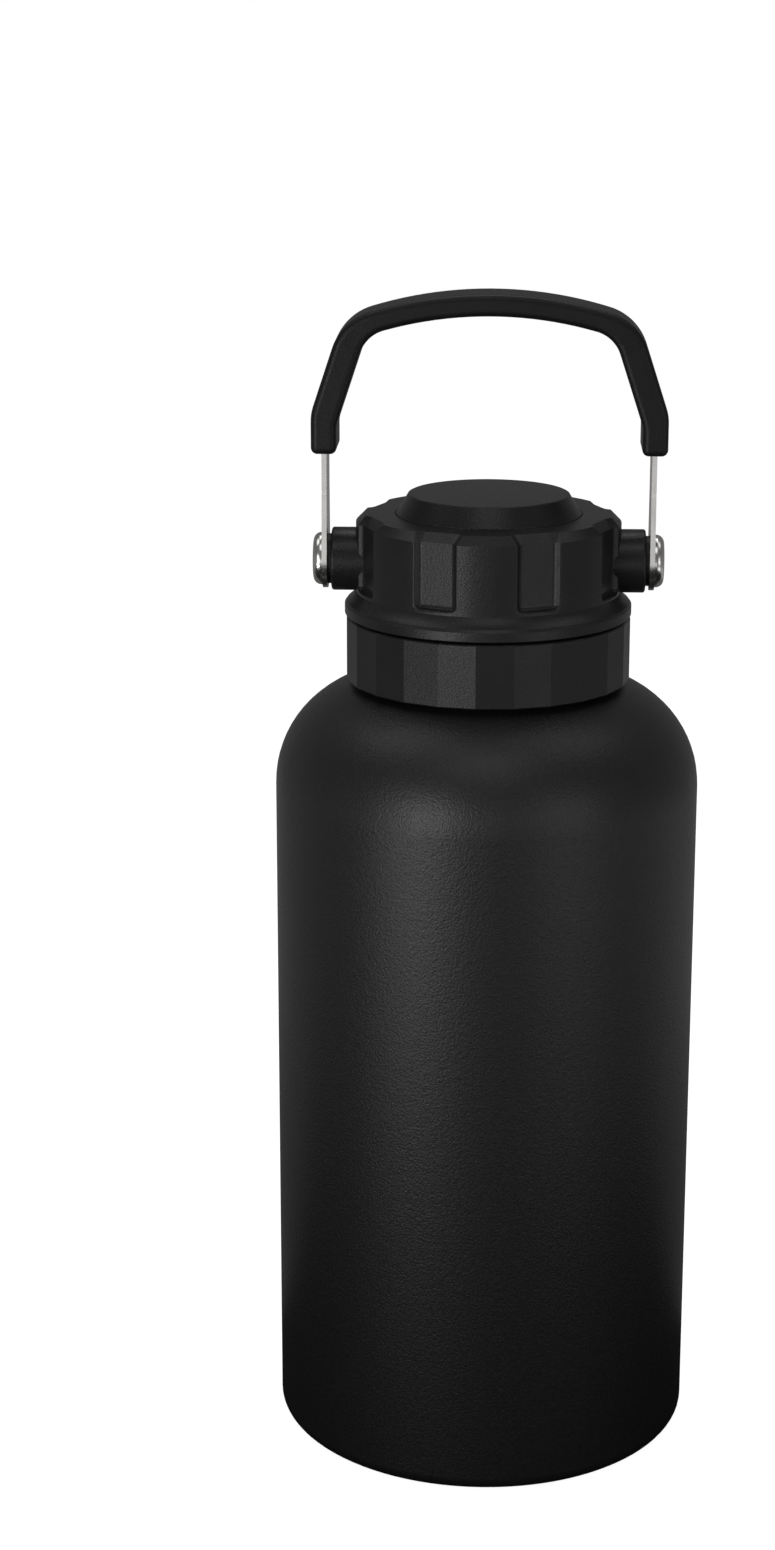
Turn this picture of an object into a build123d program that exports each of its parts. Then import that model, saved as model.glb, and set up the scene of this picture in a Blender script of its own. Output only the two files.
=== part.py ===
from build123d import *
import os
from math import atan2, cos, degrees, hypot, radians, sin, sqrt

# An insulated steel growler with a faceted pouring collar, a lobed screw cap and a bail handle.
# Millimetres. The origin is the centre of the foot, +Z is up the bottle, and the handle's
# pivot axis runs along X. At rest both threads are closed and the handle stands upright.

# ---------------------------------------------------------------- driving dimensions
# bottle: two steel walls with a vacuum between them
body_radius = 60.0
barrel_top_z = 193.5            # where the straight barrel turns into the shoulder
shoulder_radius = 29.8          # section radius of the shoulder
foot_edge_radius = 4.3
foot_radius = 52.0              # inner edge of the ring that the bottle stands on
outer_wall = 1.0
inner_wall_thickness = 0.8
vacuum_gap = 4.6
neck_radius = 30.6              # outside of the outer wall's neck
mouth_radius = 27.0             # inside of the inner wall's neck
rim_z = 236.6                   # sealing rim of the bottle
rim_radius = 31.6
rim_thickness = 0.8
neck_bend_radius = 1.5          # outside of the bend from the inner shoulder to its neck

# foot of the bottle
pan_recess = 3.0
pan_thickness = 1.0
dimple_radius = 8.0
dimple_depth = 1.2
bead_radius = 3.5
bead_thickness = 0.8
vent_radius = 1.5               # hole that the air is drawn out through
cover_radius = 47.0
cover_thickness = 0.8
inner_floor_z = 8.0
inner_corner_radius = 7.2
inner_seam_z = 18.0             # weld between the inner wall and its base
getter_radius = 6.0
getter_thickness = 1.6
getter_offset = 24.0

# threads: both are right-handed with one start
thread_pitch = 5.0
thread_turns = 1.25
rib_root_width = 2.2
rib_tip_width = 1.2
rib_height = 1.3
rib_embed = 0.4                 # how far a rib runs into the wall that carries it
thread_clearance = 0.4

# neck ring and pouring collar
ring_thickness = 2.0
ring_bottom_z = 224.4
collar_thread_z = 227.0
collar_radius = 40.0            # to the corners of the facets
facet_count = 24
facet_turn = 11.1               # angle of one facet corner from +X
collar_bottom_z = 224.0
collar_top_z = 242.0
collar_edge = 0.4
collar_plate = 1.4              # top plate of the faceted collar
spout_hole_radius = 30.4
sleeve_thickness = 2.0
sleeve_step = 0.6               # the sleeve stops this far above the shell's foot
spout_radius = 28.9
spout_bore_radius = 26.5
spout_flat = 0.2                # flat left on the spout's rounded lip
spout_top_z = 261.0
cap_thread_z = 251.0

# gaskets
gasket_thickness = 1.9
gasket_gap = 0.1
gasket_groove_depth = 0.7
gasket_side_gap = 0.3
collar_gasket_inner = 27.6
collar_gasket_outer = 31.4
cap_gasket_inner = 26.3
cap_gasket_outer = 29.6

# cap
cap_bottom_z = 242.6
flange_radius = 40.2
flange_edge = 0.3               # chamfer round the flange's foot
flange_crease_radius = 39.6
flange_crease_z = 246.1
flange_roll = 0.8               # height over which the flange's wall turns in to the crease
flare_mid_step = 1.1            # how far the hollow flare's middle stands out from the cap's wall
flare_mid_rise = 1.35
flare_top_z = 249.0
cap_radius = 37.0
chamfer_z = 268.35              # where the chamfer round the top starts
cap_top_z = 270.7
cap_bore_radius = 32.7
cap_top_thickness = 2.5
lobe_count = 8
pocket_floor_radius = 35.1      # distance from the axis to a grip pocket's flat floor
pocket_bottom_z = 250.1
pocket_floor_width = 10.0
pocket_mouth_width = 13.4
pocket_fillet = 1.4
pocket_overrun = 4.0            # how far the pocket cutter reaches past the flange
cut_overrun = 1.0               # how far a cutter runs past the face it opens
pocket_lip = 0.6                # rounding of a pocket's mouth
crown_hole_radius = 26.15

# crown, the raised disc in the middle of the cap
crown_lip_radius = 25.9
crown_foot_radius = 25.6
crown_foot_z = 271.0
crown_top_radius = 22.3
crown_top_z = 276.3
crown_edge = 0.2                # small flats that soften the crown's corners
crown_wall = 2.0
crown_flange_radius = 28.5
crown_flange_thickness = 1.3

# liner and insulation
liner_bottom_z = 243.6
liner_underside_z = 262.4
liner_top_z = 265.0
plug_radius = 25.9
plug_wall = 1.8
plug_bottom_z = 256.0
foam_radius = 32.5
foam_gap = 0.3

# handle pivots, on both sides at plus and minus X
pivot_z = 257.4
boss_radius = 8.85
boss_root_x = 33.2
boss_face_x = 43.75
boss_edge = 0.7
insert_radius = 4.2
insert_root_x = 35.5
screw_radius = 2.0
screw_end_x = 36.5
shoulder_pin_radius = 3.0
head_radius = 7.35
head_face_x = 48.9
head_round = 2.2                # rounding of the head's outer rim
socket_width = 4.0              # across the flats of the hexagon
socket_depth = 1.5
pivot_clearance = 0.05          # running clearance, along the axis and around it
bush_flange_radius = 7.0
bush_flange_thickness = 1.0
bush_sleeve_radius = 4.0

# bail: a steel strap with a moulded grip around its upper part
strap_thickness = 1.4
strap_width = 13.0
eye_radius = 8.2
leg_x = 45.5                    # centre of the strap's thickness
taper_top_z = 277.0             # where the leg stops narrowing
taper_bend_radius = 14.0
band_bottom_z = 285.0           # the flat leg ends here and the bent strip starts
knee_z = 297.6                  # where the legs start to lean in
lean_angle = 18.4
bail_top_z = 328.9
bail_top_radius = 110.0
knee_bend_radius = 10.0
top_bend_radius = 12.5
grip_leg_thickness = 7.1
grip_lean_thickness = 7.7
grip_top_thickness = 6.0
grip_width = 18.0
grip_end_z = 288.0
grip_fillet = 1.8

# ---------------------------------------------------------------- worked-out sizes
inner_body_radius = body_radius - outer_wall - vacuum_gap
shoulder_centre_r = body_radius - shoulder_radius
outer_section = shoulder_radius - outer_wall
inner_section = outer_section - vacuum_gap
neck_top_z = rim_z - rim_thickness
inner_neck_radius = mouth_radius + inner_wall_thickness
ring_radius = neck_radius + ring_thickness
sleeve_bore_radius = ring_radius + rib_height + thread_clearance
sleeve_radius = sleeve_bore_radius + sleeve_thickness
collar_gasket_z = rim_z + gasket_gap
shelf_z = collar_gasket_z + gasket_thickness + gasket_gap - gasket_groove_depth
shelf_top_z = collar_top_z - collar_plate
liner_bore_radius = spout_radius + rib_height + thread_clearance
plug_bore_radius = plug_radius - plug_wall
plug_floor_z = plug_bottom_z + plug_wall
cap_gasket_z = spout_top_z + gasket_gap
cap_ceiling_z = cap_top_z - cap_top_thickness
strap_inner_x = leg_x - strap_thickness / 2
strap_outer_x = leg_x + strap_thickness / 2
bush_inner_x = strap_inner_x - bush_flange_thickness
head_under_x = strap_outer_x + pivot_clearance
bush_bore_radius = shoulder_pin_radius + pivot_clearance

near = 0.05                     # points this close together count as one place

os.makedirs("parts", exist_ok=True)


def save(builder, name):
    """Label a finished piece and write it as its own STEP file."""
    builder.part.label = name
    export_step(builder.part, f"parts/{name}.step")


def thread_rib(wall_radius, start_z, outward):
    """Add one helical rib to the part in hand. It stands outward or inward from a wall,
    and the inward ribs start half a turn round, so they run between the outward ones."""
    side = 1 if outward else -1
    helix = Helix(
        thread_pitch, thread_pitch * thread_turns, wall_radius, center=(0, 0, start_z), mode=Mode.PRIVATE
    )
    path = helix.rotate(Axis.Z, 0 if outward else 180)
    tip = side * rib_height
    root = -side * rib_embed
    with BuildSketch(Plane(origin=path @ 0, x_dir=(side, 0, 0), z_dir=path % 0)) as section:
        with BuildLine():
            Polyline(
                (root, -rib_root_width / 2),
                (tip, -rib_tip_width / 2),
                (tip, rib_tip_width / 2),
                (root, rib_root_width / 2),
                close=True,
            )
        make_face()
    sweep(section.sketch, path=path, is_frenet=True)


# ---------------------------------------------------------------- bottle
# Outer wall: foot ring, barrel, shoulder and neck, spun from one sheet
neck_foot_z = barrel_top_z + sqrt(shoulder_radius**2 - (neck_radius - shoulder_centre_r) ** 2)
foot_centre_r = body_radius - foot_edge_radius
shoulder_end = degrees(atan2(neck_foot_z - barrel_top_z, neck_radius - shoulder_centre_r))
with BuildPart() as outer_shell:
    with BuildSketch(Plane.XZ):
        with BuildLine():
            Line((foot_radius, 0), (foot_centre_r, 0))
            CenterArc((foot_centre_r, foot_edge_radius), foot_edge_radius, -90, 90)
            Line((body_radius, foot_edge_radius), (body_radius, barrel_top_z))
            CenterArc((shoulder_centre_r, barrel_top_z), shoulder_radius, 0, shoulder_end)
            Polyline(
                (neck_radius, neck_foot_z),
                (neck_radius, neck_top_z),
                (neck_radius - outer_wall, neck_top_z),
                (neck_radius - outer_wall, barrel_top_z + outer_section),
                (shoulder_centre_r, barrel_top_z + outer_section),
            )
            CenterArc((shoulder_centre_r, barrel_top_z), outer_section, 90, -90)
            Line((body_radius - outer_wall, barrel_top_z), (body_radius - outer_wall, foot_edge_radius))
            CenterArc((foot_centre_r, foot_edge_radius), foot_edge_radius - outer_wall, 0, -90)
            Polyline((foot_centre_r, outer_wall), (foot_radius, outer_wall), (foot_radius, 0))
        make_face()
    revolve(axis=Axis.Z)
save(outer_shell, "outer_shell")

# Pressed pan that closes the foot, with a dimple round the vent hole
with BuildPart() as base_pan:
    with BuildSketch(Plane.XZ):
        with BuildLine():
            Polyline(
                (foot_radius - pan_thickness, 0),
                (foot_radius - pan_thickness, pan_recess),
                (dimple_radius, pan_recess),
                (dimple_radius, pan_recess + dimple_depth),
                (vent_radius, pan_recess + dimple_depth),
                (vent_radius, pan_recess + dimple_depth + pan_thickness),
                (dimple_radius + pan_thickness, pan_recess + dimple_depth + pan_thickness),
                (dimple_radius + pan_thickness, pan_recess + pan_thickness),
                (foot_radius, pan_recess + pan_thickness),
                (foot_radius, 0),
                close=True,
            )
        make_face()
    revolve(axis=Axis.Z)
save(base_pan, "base_pan")

# Bead that seals the vent once the air is out
dimple_top_z = pan_recess + dimple_depth
with BuildPart() as vacuum_plug:
    with BuildSketch(Plane.XY.offset(dimple_top_z - bead_thickness)):
        Circle(bead_radius)
    extrude(amount=bead_thickness)
    fillet(vacuum_plug.edges().group_by(Axis.Z)[0], bead_thickness / 2)
    with BuildSketch(Plane.XY.offset(dimple_top_z)):
        Circle(vent_radius)
    extrude(amount=pan_thickness)
save(vacuum_plug, "vacuum_plug")

# Thin disc bonded into the recess over the vent
with BuildPart() as base_cover:
    with BuildSketch(Plane.XY.offset(pan_recess - cover_thickness)):
        Circle(cover_radius)
    extrude(amount=cover_thickness)
    chamfer(base_cover.edges().group_by(Axis.Z)[0], cover_thickness / 2)
save(base_cover, "base_cover")

# Getter capsule that keeps the vacuum hard, on top of the pan
with BuildPart() as getter_capsule:
    with BuildSketch(Plane.XY.offset(pan_recess + pan_thickness)):
        with Locations((getter_offset, 0)):
            Circle(getter_radius)
    extrude(amount=getter_thickness)
    fillet(getter_capsule.edges().group_by(Axis.Z)[-1], getter_thickness / 4)
save(getter_capsule, "getter_capsule")

# Inner wall: barrel, shoulder, neck and the turned-out sealing rim
bend_centre_r = inner_neck_radius + neck_bend_radius
bend_centre_z = barrel_top_z + inner_section + neck_bend_radius
inside_body = inner_body_radius - inner_wall_thickness
inside_section = inner_section - inner_wall_thickness
inside_bend = neck_bend_radius + inner_wall_thickness
with BuildPart() as inner_wall:
    with BuildSketch(Plane.XZ):
        with BuildLine():
            Line((inner_body_radius, inner_seam_z), (inner_body_radius, barrel_top_z))
            CenterArc((shoulder_centre_r, barrel_top_z), inner_section, 0, 90)
            Line(
                (shoulder_centre_r, barrel_top_z + inner_section),
                (bend_centre_r, barrel_top_z + inner_section),
            )
            CenterArc((bend_centre_r, bend_centre_z), neck_bend_radius, -90, -90)
            Polyline(
                (inner_neck_radius, bend_centre_z),
                (inner_neck_radius, neck_top_z),
                (rim_radius, neck_top_z),
                (rim_radius, rim_z),
                (mouth_radius, rim_z),
                (mouth_radius, bend_centre_z),
            )
            CenterArc((bend_centre_r, bend_centre_z), inside_bend, 180, 90)
            Line(
                (bend_centre_r, barrel_top_z + inside_section),
                (shoulder_centre_r, barrel_top_z + inside_section),
            )
            CenterArc((shoulder_centre_r, barrel_top_z), inside_section, 90, -90)
            Polyline(
                (inside_body, barrel_top_z),
                (inside_body, inner_seam_z),
                (inner_body_radius, inner_seam_z),
            )
        make_face()
    revolve(axis=Axis.Z)
save(inner_wall, "inner_wall")

# Inner base: a drawn cup welded to the inner wall
corner_centre_r = inside_body - inner_corner_radius
corner_centre_z = inner_floor_z + inner_corner_radius
with BuildPart() as inner_base:
    with BuildSketch(Plane.XZ):
        with BuildLine():
            Polyline(
                (0, inner_floor_z),
                (0, inner_floor_z - inner_wall_thickness),
                (corner_centre_r, inner_floor_z - inner_wall_thickness),
            )
            CenterArc(
                (corner_centre_r, corner_centre_z), inner_corner_radius + inner_wall_thickness, -90, 90
            )
            Polyline(
                (inner_body_radius, corner_centre_z),
                (inner_body_radius, inner_seam_z),
                (inside_body, inner_seam_z),
                (inside_body, corner_centre_z),
            )
            CenterArc((corner_centre_r, corner_centre_z), inner_corner_radius, 0, -90)
            Line((corner_centre_r, inner_floor_z), (0, inner_floor_z))
        make_face()
    revolve(axis=Axis.Z)
save(inner_base, "inner_base")

# Threaded ring welded round the neck
with BuildPart() as neck_ring:
    with BuildSketch(Plane.XY.offset(ring_bottom_z)):
        Circle(ring_radius)
        Circle(neck_radius, mode=Mode.SUBTRACT)
    extrude(amount=neck_top_z - ring_bottom_z)
    thread_rib(ring_radius, collar_thread_z, outward=True)
save(neck_ring, "neck_ring")

# ---------------------------------------------------------------- pouring collar
# Silicone ring between the bottle's rim and the collar
with BuildPart() as collar_gasket:
    with BuildSketch(Plane.XY.offset(collar_gasket_z)):
        Circle(collar_gasket_outer)
        Circle(collar_gasket_inner, mode=Mode.SUBTRACT)
    extrude(amount=gasket_thickness)
    fillet(collar_gasket.edges(), gasket_thickness / 5)
save(collar_gasket, "collar_gasket")

# Insert: threaded sleeve, sealing shelf and pouring spout in one moulding
collar_groove_inner = collar_gasket_inner - gasket_side_gap
collar_groove_outer = collar_gasket_outer + gasket_side_gap
collar_groove_z = shelf_z + gasket_groove_depth
sleeve_bottom_z = collar_bottom_z + sleeve_step
spout_lip = (spout_radius - spout_bore_radius - spout_flat) / 2
with BuildPart() as collar_insert:
    with BuildSketch(Plane.XZ):
        with BuildLine():
            Polyline(
                (sleeve_bore_radius, sleeve_bottom_z),
                (sleeve_radius, sleeve_bottom_z),
                (sleeve_radius, shelf_top_z),
                (spout_radius, shelf_top_z),
                (spout_radius, spout_top_z),
                (spout_bore_radius, spout_top_z),
                (spout_bore_radius, shelf_z),
                (collar_groove_inner, shelf_z),
                (collar_groove_inner, collar_groove_z),
                (collar_groove_outer, collar_groove_z),
                (collar_groove_outer, shelf_z),
                (sleeve_bore_radius, shelf_z),
                close=True,
            )
        make_face()
    revolve(axis=Axis.Z)
    fillet(collar_insert.edges().group_by(Axis.Z)[-1], spout_lip)
    thread_rib(sleeve_bore_radius, collar_thread_z, outward=False)
    thread_rib(spout_radius, cap_thread_z, outward=True)
save(collar_insert, "collar_insert")

# Faceted outer collar
with BuildPart() as collar_shell:
    with BuildSketch(Plane.XY.offset(collar_bottom_z)):
        RegularPolygon(collar_radius, facet_count, rotation=facet_turn)
    extrude(amount=collar_top_z - collar_bottom_z)
    outline = collar_shell.edges().group_by(Axis.Z)
    chamfer(outline[0] + outline[-1], collar_edge)
    with BuildSketch(Plane.XY.offset(collar_bottom_z)):
        Circle(sleeve_radius)
    extrude(amount=shelf_top_z - collar_bottom_z, mode=Mode.SUBTRACT)
    with BuildSketch(Plane.XY.offset(shelf_top_z)):
        Circle(spout_hole_radius)
    extrude(amount=collar_plate, mode=Mode.SUBTRACT)
save(collar_shell, "collar_shell")

# ---------------------------------------------------------------- cap
# Silicone ring between the spout and the cap's liner
with BuildPart() as cap_gasket:
    with BuildSketch(Plane.XY.offset(cap_gasket_z)):
        Circle(cap_gasket_outer)
        Circle(cap_gasket_inner, mode=Mode.SUBTRACT)
    extrude(amount=gasket_thickness)
    fillet(cap_gasket.edges(), gasket_thickness / 5)
save(cap_gasket, "cap_gasket")

# Cutter for one grip pocket, on the +X side: straight up to the chamfer, then flared at 45
# degrees, so that the chamfer follows the pocket's outline
pocket_outer_r = flange_radius + pocket_overrun
pocket_depth = cap_radius - pocket_floor_radius
pocket_draft = (pocket_mouth_width - pocket_floor_width) / 2 / pocket_depth
pocket_outer_width = pocket_floor_width + 2 * pocket_draft * (pocket_outer_r - pocket_floor_radius)
chamfer_size = cap_top_z - chamfer_z


def pocket_outline(height):
    """Plan of a pocket with its floor corners rounded, on a level plane."""
    with BuildSketch(Plane.XY.offset(height)) as outline:
        with BuildLine():
            Polyline(
                (pocket_floor_radius, -pocket_floor_width / 2),
                (pocket_outer_r, -pocket_outer_width / 2),
                (pocket_outer_r, pocket_outer_width / 2),
                (pocket_floor_radius, pocket_floor_width / 2),
                close=True,
            )
        make_face()
        fillet(outline.vertices().group_by(Axis.X)[0], pocket_fillet)
    return outline.sketch


with BuildPart() as pocket_cutter:
    extrude(pocket_outline(pocket_bottom_z), amount=chamfer_z - pocket_bottom_z)
    fillet(pocket_cutter.edges().group_by(Axis.Z)[0].filter_by(
        lambda edge: edge.center().X < pocket_outer_r - cut_overrun), pocket_fillet)
    extrude(pocket_outline(chamfer_z), amount=chamfer_size + cut_overrun, taper=-45)


def on_pocket_mouth(edge):
    """True for the edges where a pocket opens through the cap's straight wall."""
    middle = edge @ 0.5
    on_wall = abs(hypot(middle.X, middle.Y) - cap_radius) < near
    return on_wall and flare_top_z + near < middle.Z < chamfer_z - near


# Shell: flange, lobed wall with grip pockets, chamfered top and the two pivot bosses
with BuildPart() as cap_shell:
    with BuildSketch(Plane.XZ):
        with BuildLine():
            Polyline(
                (cap_bore_radius, cap_bottom_z),
                (flange_radius - flange_edge, cap_bottom_z),
                (flange_radius, cap_bottom_z + flange_edge),
                (flange_radius, flange_crease_z - flange_roll),
                (flange_crease_radius, flange_crease_z),
            )
            ThreePointArc(
                (flange_crease_radius, flange_crease_z),
                (cap_radius + flare_mid_step, flange_crease_z + flare_mid_rise),
                (cap_radius, flare_top_z),
            )
            Polyline(
                (cap_radius, flare_top_z),
                (cap_radius, chamfer_z),
                (cap_radius - chamfer_size, cap_top_z),
                (crown_hole_radius, cap_top_z),
                (crown_hole_radius, cap_ceiling_z),
                (cap_bore_radius, cap_ceiling_z),
                (cap_bore_radius, cap_bottom_z),
            )
        make_face()
    revolve(axis=Axis.Z)
    with PolarLocations(0, lobe_count, start_angle=180 / lobe_count):
        add(pocket_cutter.part, mode=Mode.SUBTRACT)
    fillet(cap_shell.edges().filter_by(on_pocket_mouth), pocket_lip)
    for side in (-1, 1):
        with BuildSketch(Plane.YZ.offset(side * boss_root_x)):
            with Locations((0, pivot_z)):
                Circle(boss_radius)
        extrude(amount=side * (boss_face_x - boss_root_x))
        fillet(cap_shell.edges().sort_by(Axis.X)[-1 if side > 0 else 0], boss_edge)
        with BuildSketch(Plane.YZ.offset(side * insert_root_x)):
            with Locations((0, pivot_z)):
                Circle(insert_radius)
        extrude(amount=side * (boss_face_x - insert_root_x), mode=Mode.SUBTRACT)
save(cap_shell, "cap_shell")

# Crown: the raised disc, held by its flange under the shell's top
crown_slope = (crown_foot_radius - crown_top_radius) / (crown_top_z - crown_foot_z)
crown_hollow_top_z = crown_top_z - crown_wall
crown_flange_top_z = cap_ceiling_z
crown_flange_bottom_z = crown_flange_top_z - crown_flange_thickness
crown_hollow_radius = crown_foot_radius - crown_wall
crown_hollow_top_radius = crown_hollow_radius - crown_slope * (crown_hollow_top_z - crown_foot_z)
with BuildPart() as cap_crown:
    with BuildSketch(Plane.XZ):
        with BuildLine():
            Polyline(
                (0, crown_hollow_top_z),
                (crown_hollow_top_radius, crown_hollow_top_z),
                (crown_hollow_radius, crown_foot_z),
                (crown_hollow_radius, crown_flange_bottom_z),
                (crown_flange_radius, crown_flange_bottom_z),
                (crown_flange_radius, crown_flange_top_z),
                (crown_lip_radius, crown_flange_top_z),
                (crown_lip_radius, crown_foot_z - crown_edge),
                (crown_foot_radius, crown_foot_z),
                (crown_top_radius + crown_edge, crown_top_z - crown_edge),
                (crown_top_radius - crown_edge, crown_top_z),
                (0, crown_top_z),
                close=True,
            )
        make_face()
    revolve(axis=Axis.Z)
save(cap_crown, "cap_crown")

# Foam that fills the space between the liner and the crown
with BuildPart() as cap_insulation:
    with BuildSketch(Plane.XZ):
        with BuildLine():
            Polyline(
                (0, plug_floor_z),
                (plug_bore_radius, plug_floor_z),
                (plug_bore_radius, liner_top_z),
                (foam_radius, liner_top_z),
                (foam_radius, cap_ceiling_z),
                (crown_flange_radius + foam_gap, cap_ceiling_z),
                (crown_flange_radius + foam_gap, crown_flange_bottom_z),
                (crown_hollow_radius - foam_gap, crown_flange_bottom_z),
                (crown_hollow_radius - foam_gap, crown_foot_z),
                (crown_hollow_top_radius - foam_gap, crown_hollow_top_z),
                (0, crown_hollow_top_z),
                close=True,
            )
        make_face()
    revolve(axis=Axis.Z)
save(cap_insulation, "cap_insulation")

# Liner: threaded sleeve, gasket groove and the plug that centres the cap in the spout
cap_groove_inner = cap_gasket_inner - gasket_side_gap
cap_groove_outer = cap_gasket_outer + gasket_side_gap
cap_groove_z = cap_gasket_z + gasket_thickness + gasket_gap
with BuildPart() as cap_liner:
    with BuildSketch(Plane.XZ):
        with BuildLine():
            Polyline(
                (liner_bore_radius, liner_bottom_z),
                (cap_bore_radius, liner_bottom_z),
                (cap_bore_radius, liner_top_z),
                (plug_bore_radius, liner_top_z),
                (plug_bore_radius, plug_floor_z),
                (0, plug_floor_z),
                (0, plug_bottom_z),
                (plug_radius, plug_bottom_z),
                (plug_radius, liner_underside_z),
                (cap_groove_inner, liner_underside_z),
                (cap_groove_inner, cap_groove_z),
                (cap_groove_outer, cap_groove_z),
                (cap_groove_outer, liner_underside_z),
                (liner_bore_radius, liner_underside_z),
                close=True,
            )
        make_face()
    revolve(axis=Axis.Z)
    thread_rib(liner_bore_radius, cap_thread_z, outward=False)
save(cap_liner, "cap_liner")

# ---------------------------------------------------------------- handle
# Both the strap and the grip round it are bands along one centre line, seen from the front


def bail_area(leg_shift, lean_shift, top_shift):
    """Area under the bail's centre line, its legs, leaning parts and arched top each moved
    outward by their own shift. The leaning line meets the arch lean_length past the knee: along
    and across are the knee's distances from the arch's centre, along that line and square to it."""
    lean = radians(lean_angle)
    side_x = leg_x + leg_shift
    corner_z = knee_z + (lean_shift - leg_shift * cos(lean)) / sin(lean)
    top_radius = bail_top_radius + top_shift
    centre_z = bail_top_z - bail_top_radius
    along = (corner_z - centre_z) * cos(lean) - side_x * sin(lean)
    across = (corner_z - centre_z) * sin(lean) + side_x * cos(lean)
    lean_length = sqrt(top_radius**2 - across**2) - along
    top_x = side_x - lean_length * sin(lean)
    top_z = corner_z + lean_length * cos(lean)
    with BuildSketch(Plane.XZ, mode=Mode.PRIVATE) as area:
        with BuildLine():
            Polyline((-top_x, top_z), (-side_x, corner_z), (-side_x, pivot_z), (side_x, pivot_z))
            Polyline((side_x, pivot_z), (side_x, corner_z), (top_x, top_z))
            ThreePointArc((top_x, top_z), (0, centre_z + top_radius), (-top_x, top_z))
        make_face()
        fillet(area.vertices().group_by(Axis.Y)[-1], top_bend_radius + top_shift)
        fillet(area.vertices().group_by(Axis.Y)[1], knee_bend_radius + leg_shift)
    return area.sketch_local


def bail_band(leg_thickness, lean_thickness, top_thickness, lowest_z):
    """Band along the bail's centre line, seen from the front, from lowest_z upwards."""
    halves = (leg_thickness / 2, lean_thickness / 2, top_thickness / 2)
    with BuildSketch(Plane.XZ) as band:
        add(bail_area(*halves))
        add(bail_area(*[-half for half in halves]), mode=Mode.SUBTRACT)
        with Locations((0, lowest_z)):
            Rectangle(4 * leg_x, 4 * leg_x, align=(Align.CENTER, Align.MAX), mode=Mode.SUBTRACT)
    return band.sketch


def on_taper_corner(corner):
    """True for the two corners where the leg's taper meets its parallel part."""
    return abs(corner.Y - taper_top_z) < near and abs(corner.X) > strap_width / 4


with BuildPart() as bail_strap:
    strip = bail_band(strap_thickness, strap_thickness, strap_thickness, band_bottom_z)
    extrude(strip, amount=strap_width / 2, both=True)
    for side in (-1, 1):
        with BuildSketch(Plane.YZ.offset(side * strap_inner_x)) as leg:
            with Locations((0, pivot_z)):
                Circle(eye_radius)
            with Locations((0, taper_top_z)):
                Rectangle(strap_width, strap_thickness, align=(Align.CENTER, Align.MAX))
            make_hull()
            with Locations((0, taper_top_z)):
                Rectangle(strap_width, band_bottom_z - taper_top_z, align=(Align.CENTER, Align.MIN))
            fillet(leg.vertices().filter_by(on_taper_corner), taper_bend_radius)
            with Locations((0, pivot_z)):
                Circle(bush_sleeve_radius, mode=Mode.SUBTRACT)
        extrude(amount=side * strap_thickness)
save(bail_strap, "bail_strap")

# Grip moulded round the strap
with BuildPart() as handle_grip:
    grip_band = bail_band(grip_leg_thickness, grip_lean_thickness, grip_top_thickness, grip_end_z)
    extrude(grip_band, amount=grip_width / 2, both=True)
    fillet(handle_grip.edges(), grip_fillet)
    add(bail_strap.part, mode=Mode.SUBTRACT)
save(handle_grip, "handle_grip")

for side, word in ((-1, "left"), (1, "right")):
    # Threaded brass insert moulded into the boss
    with BuildPart() as boss_insert:
        with BuildSketch(Plane.YZ.offset(side * insert_root_x)):
            with Locations((0, pivot_z)):
                Circle(insert_radius)
        extrude(amount=side * (boss_face_x - insert_root_x))
        with BuildSketch(Plane.YZ.offset(side * screw_end_x)):
            with Locations((0, pivot_z)):
                Circle(screw_radius)
        extrude(amount=side * (boss_face_x - screw_end_x), mode=Mode.SUBTRACT)
    save(boss_insert, f"boss_insert_{word}")

    # Shoulder screw that the strap's eye turns on
    with BuildPart() as pivot_screw:
        with BuildSketch(Plane.YZ.offset(side * head_under_x)):
            with Locations((0, pivot_z)):
                Circle(head_radius)
        extrude(amount=side * (head_face_x - head_under_x))
        rim = pivot_screw.edges().sort_by(Axis.X)[-1 if side > 0 else 0]
        fillet(rim, head_round)
        with BuildSketch(Plane.YZ.offset(side * head_face_x)):
            with Locations((0, pivot_z)):
                RegularPolygon(socket_width / 2, 6, major_radius=False)
        extrude(amount=-side * socket_depth, mode=Mode.SUBTRACT)
        with BuildSketch(Plane.YZ.offset(side * boss_face_x)):
            with Locations((0, pivot_z)):
                Circle(shoulder_pin_radius)
        extrude(amount=side * (head_under_x - boss_face_x))
        with BuildSketch(Plane.YZ.offset(side * screw_end_x)):
            with Locations((0, pivot_z)):
                Circle(screw_radius)
        extrude(amount=side * (boss_face_x - screw_end_x))
    save(pivot_screw, f"pivot_screw_{word}")

    # Flanged nylon bush pressed into the eye, its flange against the boss
    with BuildPart() as pivot_bush:
        with BuildSketch(Plane.YZ.offset(side * bush_inner_x)):
            with Locations((0, pivot_z)):
                Circle(bush_flange_radius)
        extrude(amount=side * bush_flange_thickness)
        with BuildSketch(Plane.YZ.offset(side * strap_inner_x)):
            with Locations((0, pivot_z)):
                Circle(bush_sleeve_radius)
        extrude(amount=side * (strap_thickness - pivot_clearance))
        with BuildSketch(Plane.YZ.offset(side * bush_inner_x)):
            with Locations((0, pivot_z)):
                Circle(bush_bore_radius)
        extrude(amount=side * (bush_flange_thickness + strap_thickness), mode=Mode.SUBTRACT)
    save(pivot_bush, f"pivot_bush_{word}")
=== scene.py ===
from math import cos, pi, radians, sin

import bpy
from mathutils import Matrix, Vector

# An insulated steel growler in black powder coat, with a faceted collar, a lobed screw cap and
# a bail handle, on a pale table. Metres and degrees, in the CAD frame: the object's front is -Y
# and the handle's pivots are at its left and right, along X.

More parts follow.
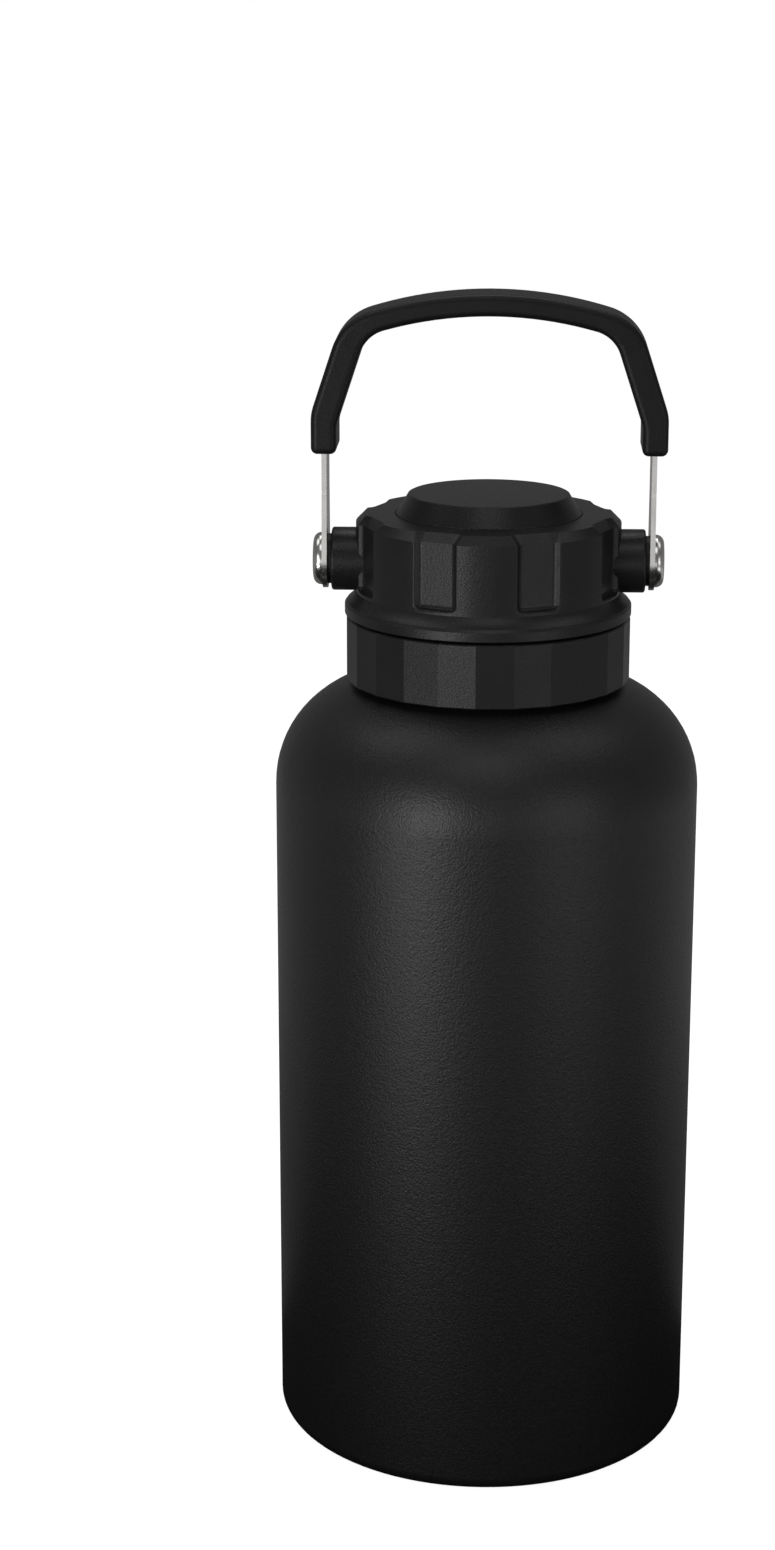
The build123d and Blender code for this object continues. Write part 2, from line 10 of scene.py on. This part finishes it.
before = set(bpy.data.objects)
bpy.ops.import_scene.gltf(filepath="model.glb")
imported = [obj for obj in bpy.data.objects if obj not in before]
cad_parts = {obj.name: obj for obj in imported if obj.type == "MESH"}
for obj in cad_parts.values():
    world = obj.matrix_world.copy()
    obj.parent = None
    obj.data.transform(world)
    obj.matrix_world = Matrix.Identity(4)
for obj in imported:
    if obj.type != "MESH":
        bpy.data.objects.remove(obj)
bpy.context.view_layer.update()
scene = bpy.context.scene
millimetre = 0.001
micrometre = 0.000001
noise_low, noise_high = 0.3, 0.7    # a noise texture's values mostly lie between these


# ---------------------------------------------------------------- material building blocks
class Finish:
    """A procedural material: one Principled shader and the nodes that vary it."""

    def __init__(self, name, **sockets):
        self.material = bpy.data.materials.new(name)
        self.material.use_nodes = True
        self.tree = self.material.node_tree
        self.shader = self.tree.nodes["Principled BSDF"]
        self.place = self.tree.nodes.new("ShaderNodeTexCoord").outputs["Object"]
        for socket, value in sockets.items():
            self.shader.inputs[socket.replace("_", " ")].default_value = value

    def node(self, kind):
        return self.tree.nodes.new(kind)

    def link(self, source, target):
        self.tree.links.new(source, target)

    def noise(self, size, detail=1.0, stretch=(1, 1, 1)):
        """Noise whose lumps are about size metres across, drawn out by stretch."""
        mapping = self.node("ShaderNodeMapping")
        mapping.inputs["Scale"].default_value = tuple(1 / (size * factor) for factor in stretch)
        self.link(self.place, mapping.inputs["Vector"])
        texture = self.node("ShaderNodeTexNoise")
        texture.inputs["Scale"].default_value = 1.0
        texture.inputs["Detail"].default_value = detail
        self.link(mapping.outputs["Vector"], texture.inputs["Vector"])
        return texture.outputs["Fac"]

    def colour(self, value, dark, light):
        """The base colour runs from dark to light with the noise value."""
        ramp = self.node("ShaderNodeValToRGB")
        for element, position, shade in zip(
            ramp.color_ramp.elements, (noise_low, noise_high), (dark, light)
        ):
            element.position = position
            element.color = (*shade, 1)
        self.link(value, ramp.inputs["Fac"])
        self.link(ramp.outputs["Color"], self.shader.inputs["Base Color"])

    def roughness(self, value, low, high):
        """The roughness runs from low to high with the noise value."""
        spread = self.node("ShaderNodeMapRange")
        spread.inputs["From Min"].default_value = noise_low
        spread.inputs["From Max"].default_value = noise_high
        spread.inputs["To Min"].default_value = low
        spread.inputs["To Max"].default_value = high
        self.link(value, spread.inputs["Value"])
        self.link(spread.outputs["Result"], self.shader.inputs["Roughness"])

    def bump(self, value, height):
        """Raises the surface by height metres where the value is 1, on top of earlier bumps."""
        relief = self.node("ShaderNodeBump")
        relief.inputs["Distance"].default_value = height
        self.link(value, relief.inputs["Height"])
        normal = self.shader.inputs["Normal"]
        if normal.links:
            self.link(normal.links[0].from_socket, relief.inputs["Normal"])
        self.link(relief.outputs["Normal"], normal)


# ---------------------------------------------------------------- materials
# Roughness always runs from smooth to rough, and a colour from dark to light.
flow_size = 14 * millimetre         # slow changes of tone in a moulded part
cloud_size = 6 * millimetre         # slow changes of tone in a metal
cloud_depth = 0.9                   # the darkest tone of a metal against its tint
grain_height = 0.12                 # height of a moulded part's grain against its width


def grey(level):
    return (level, level, level)


def powder_coat():
    """Black powder coat: a fine orange peel under a still finer grit."""
    coat = Finish("powder_coat_black", Specular_IOR_Level=0.5)
    peel = coat.noise(1.1 * millimetre)
    grit = coat.noise(0.6 * millimetre)
    coat.colour(grit, (0.0085, 0.0085, 0.0088), (0.0125, 0.0125, 0.0128))
    coat.roughness(grit, 0.38, 0.46)
    coat.bump(peel, 0.05 * millimetre)
    coat.bump(grit, 0.10 * millimetre)
    return coat.material


def moulded(name, dark, light, smooth, rough, grain=0.5, shine=0.5):
    """Moulded plastic, rubber or foam with a fine grain, whose lumps are grain mm across."""
    plastic = Finish(name, Specular_IOR_Level=shine)
    lump_size = grain * millimetre
    lump = plastic.noise(lump_size)
    flow = plastic.noise(flow_size)
    plastic.colour(flow, dark, light)
    plastic.roughness(lump, smooth, rough)
    plastic.bump(lump, grain_height * lump_size)
    return plastic.material


def worked_metal(name, smooth, rough, stretch, line=0.12, relief=0.1, tint=(0.62, 0.61, 0.59)):
    """Metal with fine marks that are line mm across and relief micrometres high, drawn out by
    stretch along X, Y and Z."""
    metal = Finish(name, Metallic=1.0)
    marks = metal.noise(line * millimetre, detail=3.0, stretch=stretch)
    cloud = metal.noise(cloud_size)
    shade = tuple(cloud_depth * channel for channel in tint)
    metal.colour(cloud, shade, tint)
    metal.roughness(marks, smooth, rough)
    metal.bump(marks, relief * micrometre)
    return metal.material


finishes = {
    "powder_coat": powder_coat(),
    "collar_coat": moulded("collar_black", grey(0.010), grey(0.013), 0.35, 0.41, 0.45, shine=0.33),
    "cap_plastic": moulded("cap_black", grey(0.011), grey(0.014), 0.32, 0.38, 0.6, shine=0.33),
    "grip_plastic": moulded("grip_black", grey(0.008), grey(0.011), 0.38, 0.44, 0.5, shine=0.22),
    "insert_plastic": moulded("insert_grey", grey(0.02), grey(0.03), 0.40, 0.50, 0.5),
    "bush_nylon": moulded("nylon_black", grey(0.006), grey(0.009), 0.45, 0.55, 0.4),
    "silicone": moulded("silicone_white", grey(0.55), grey(0.62), 0.40, 0.48, 0.8),
    "foam": moulded("foam_cream", (0.62, 0.58, 0.45), (0.72, 0.68, 0.55), 0.75, 0.85, 0.6),
    "stainless": worked_metal("stainless_satin", 0.22, 0.32, (6, 6, 0.6)),
    "strap_steel": worked_metal(
        "strap_brushed", 0.22, 0.25, (1, 1, 30), line=0.5, relief=0.03, tint=(0.76, 0.75, 0.73)
    ),
    "polished_steel": worked_metal(
        "steel_polished", 0.20, 0.23, (1, 3, 3), line=0.5, relief=0.03, tint=(0.80, 0.79, 0.77)
    ),
    "brass": worked_metal("brass_turned", 0.22, 0.30, (0.6, 4, 4), tint=(0.72, 0.52, 0.22)),
    "getter_steel": worked_metal("getter_dull", 0.45, 0.55, (2, 2, 2), tint=(0.35, 0.34, 0.33)),
    "solder": worked_metal("solder_bright", 0.25, 0.35, (2, 2, 2), tint=(0.55, 0.55, 0.56)),
}

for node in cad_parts.values():
    for holder in node.material_slots:
        holder.material = finishes[holder.material.name]


# ---------------------------------------------------------------- table, surroundings and lights
table_glow = 0.93               # what the camera sees of the table without any light on it
seen_grey = 0.5                 # the table's grey to the camera, on top of its glow
unseen_grey = 0.02              # and to every other ray
table_sides = 96

# A direction's rise, from -1 straight down to 1 straight up, and the room's brightness there.
room_levels = [(-0.45, 0.0), (-0.22, 0.22), (0.10, 0.18), (0.45, 0.14)]


def seen_by_camera(tree, shown, lit):
    """A mix of two shaders: shown to the camera, lit to every other ray."""
    mix = tree.nodes.new("ShaderNodeMixShader")
    path = tree.nodes.new("ShaderNodeLightPath")
    tree.links.new(path.outputs["Is Camera Ray"], mix.inputs["Fac"])
    tree.links.new(lit, mix.inputs[1])
    tree.links.new(shown, mix.inputs[2])
    return mix.outputs["Shader"]


def surroundings():
    """A white studio to the camera. To every other ray it is a dim room, black underneath."""
    world = bpy.data.worlds.new("studio")
    world.use_nodes = True
    tree = world.node_tree
    direction = tree.nodes.new("ShaderNodeTexCoord").outputs["Generated"]
    parts = tree.nodes.new("ShaderNodeSeparateXYZ")
    tree.links.new(direction, parts.inputs["Vector"])
    shift = tree.nodes.new("ShaderNodeMapRange")
    shift.inputs["From Min"].default_value = -1.0
    tree.links.new(parts.outputs["Z"], shift.inputs["Value"])
    fade = tree.nodes.new("ShaderNodeValToRGB")
    tree.links.new(shift.outputs["Result"], fade.inputs["Fac"])
    steps = fade.color_ramp.elements
    while len(steps) < len(room_levels):
        steps.new(1.0)
    for step, (rise, level) in zip(steps, room_levels):
        step.position = (rise + 1) / 2
        step.color = (level, level, level, 1)
    room = tree.nodes.new("ShaderNodeBackground")
    tree.links.new(fade.outputs["Color"], room.inputs["Color"])
    white = tree.nodes.new("ShaderNodeBackground")
    white.inputs["Color"].default_value = (1, 1, 1, 1)
    mixed = seen_by_camera(tree, white.outputs["Background"], room.outputs["Background"])
    tree.links.new(mixed, tree.nodes["World Output"].inputs["Surface"])
    scene.world = world


def matt(tree, level):
    """The output of a diffuse shader of one grey level."""
    shader = tree.nodes.new("ShaderNodeBsdfDiffuse")
    shader.inputs["Color"].default_value = (level, level, level, 1)
    return shader.outputs["BSDF"]


def table(name, radius, height, dark):
    """A round table top, white to the camera. To every other ray it is dark or isn't there."""
    bpy.ops.mesh.primitive_circle_add(vertices=table_sides, radius=radius, fill_type="NGON")
    top = bpy.context.object
    top.name = name
    top.location.z = height
    pale = bpy.data.materials.new(name + "_white")
    pale.use_nodes = True
    tree = pale.node_tree
    glow = tree.nodes.new("ShaderNodeEmission")
    glow.inputs["Strength"].default_value = table_glow
    shown = tree.nodes.new("ShaderNodeAddShader")
    tree.links.new(glow.outputs["Emission"], shown.inputs[0])
    tree.links.new(matt(tree, seen_grey), shown.inputs[1])
    mixed = seen_by_camera(tree, shown.outputs["Shader"], matt(tree, unseen_grey))
    tree.links.new(mixed, tree.nodes["Material Output"].inputs["Surface"])
    top.data.materials.append(pale)
    top.visible_diffuse = top.visible_glossy = dark
    top.visible_shadow = False


def area_light(name, place, facing, width, length, power):
    """A rectangular area light at place, turned by facing, that the camera doesn't see."""
    lamp = bpy.data.lights.new(name, "AREA")
    lamp.shape = "RECTANGLE"
    lamp.size, lamp.size_y = width, length
    lamp.energy = power
    holder = bpy.data.objects.new(name, lamp)
    holder.location = place
    holder.rotation_euler = facing
    holder.visible_camera = False
    scene.collection.objects.link(holder)


def softbox(name, turn, rise, reach, width, tall, power, aim=0.16):
    """A soft rectangular light round the object. turn is its azimuth from the front, positive to
    the right, and rise its elevation seen from the height aim, which it faces."""
    turned, raised = radians(turn), radians(rise)
    away = Vector((sin(turned) * cos(raised), -cos(turned) * cos(raised), sin(raised)))
    place = Vector((0, 0, aim)) + reach * away
    area_light(name, place, (-away).to_track_quat("-Z", "Y").to_euler(), width, tall, power)


def floor_card(name, turn, near, far, width, power):
    """A soft rectangular light lying on the table and facing up, from near to far off the axis."""
    turned, middle = radians(turn), (near + far) / 2
    place = (middle * sin(turned), -middle * cos(turned), 0)
    area_light(name, place, (pi, 0, turned), width, far - near, power)


surroundings()
table("table", 0.36, -0.0002, dark=True)
table("floor", 3.0, -0.001, dark=False)

# floor_card: turn, near, far, width, power
floor_card("left_near", -37, 0.50, 0.85, 0.35, 1.35)
floor_card("left_floor", -37, 0.85, 1.50, 0.65, 3.0)
floor_card("right_near", 44, 0.50, 0.85, 0.45, 0.68)
floor_card("left_side_floor", -100, 0.40, 0.90, 0.60, 0.1)
floor_card("right_side_floor", 100, 0.40, 0.90, 0.60, 0.3)

# softbox: turn, rise, reach, width, height, power
softbox("left_box", -29, 5, 1.2, 0.35, 0.25, 2.2)
softbox("left_high", -36, 18, 1.2, 0.35, 0.30, 0.9)
softbox("right_box", 42, 5, 1.2, 0.60, 0.25, 0.65)
softbox("right_high", 42, 18, 1.2, 0.50, 0.30, 0.45)
softbox("front_top", 0, 62, 1.2, 0.60, 0.50, 1.1)
softbox("back_top", 180, 68, 1.2, 0.60, 0.50, 2.0)
softbox("left_top", -100, 60, 1.2, 0.50, 0.50, 1.0)
softbox("right_top", 100, 60, 1.2, 0.50, 0.50, 0.7)

# straight ahead and behind: the strap's front edges mirror the front card
floor_card("front_floor", 0, 1.10, 1.55, 0.34, 0.35)
floor_card("back_floor", 180, 0.05, 0.90, 1.0, 0.3)
softbox("front_card", -0.5, -4.1, 1.5, 0.34, 0.34, 0.34, aim=0.29)


# ---------------------------------------------------------------- camera
camera_place = (0.0084, -0.8067, 0.4205)
camera_turn = 2.6              # to the left of +Y
camera_tilt = 15.64            # below the horizon
camera_lens = 68.09            # in mm, as is the sensor
camera_sensor = 36             # along the picture's long side

view = bpy.data.cameras.new("camera")
view.lens = camera_lens
view.sensor_width = camera_sensor
camera = bpy.data.objects.new("camera", view)
camera.location = camera_place
camera.rotation_euler = (radians(90 - camera_tilt), 0, radians(camera_turn))
scene.collection.objects.link(camera)
scene.camera = camera
scene.view_settings.view_transform = "Standard"
